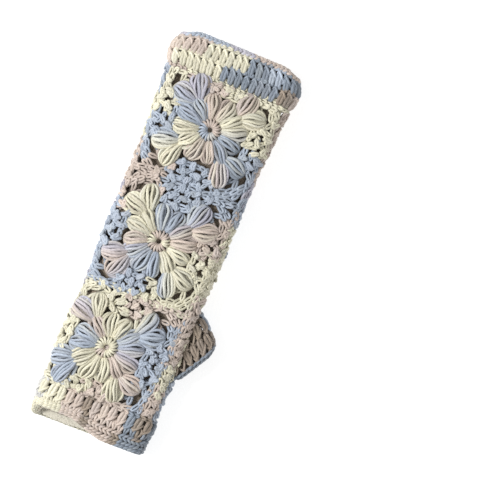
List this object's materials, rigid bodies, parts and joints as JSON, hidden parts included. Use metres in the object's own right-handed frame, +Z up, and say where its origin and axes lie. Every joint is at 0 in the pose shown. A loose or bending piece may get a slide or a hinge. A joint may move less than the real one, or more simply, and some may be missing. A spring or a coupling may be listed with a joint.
{
  "type": "crochet fingerless glove",
  "caption": "Long fingerless right-hand crochet glove with puff-stitch flower squares, open net, stitched cuffs, a short thumb sleeve and a fleece lining, lying palm down.",
  "frame": {"origin": "on the surface that the glove lies on, under the middle of its box", "axes": "+Z up, away from the surface and out of the back of the hand; +Y along the glove to the forearm end; +X to the side of the thumb"},
  "size_m": [0.1198, 0.31, 0.0333],
  "materials": {
    "fleece": "short-pile cream fleece",
    "cuff_yarn": "plied space-dyed wool in pink-beige, cream and pale blue, stitched in rows",
    "net_yarn": "plied space-dyed wool in cream, pale blue and pink, worked as open net",
    "flower_yarn": "plied space-dyed wool in cream, pale blue and dusty pink, worked as puff stitches"
  },
  "bodies": {
    "root": {"lining": "fleece", "wrist_cuff": "cuff_yarn", "hand_cuff": "cuff_yarn", "thumb_sleeve": "cuff_yarn", "side_strip_thumb": "net_yarn", "side_strip_outer": "net_yarn", "net_back_wrist": "net_yarn", "net_back_middle": "net_yarn", "net_back_hand": "net_yarn", "net_palm_wrist": "net_yarn", "net_palm_middle": "net_yarn", "net_palm_hand": "net_yarn", "flower_back_wrist": "flower_yarn", "flower_back_middle": "flower_yarn", "flower_back_hand": "flower_yarn", "flower_palm_wrist": "flower_yarn", "flower_palm_middle": "flower_yarn", "flower_palm_hand": "flower_yarn"}
  },
  "joints": []
}
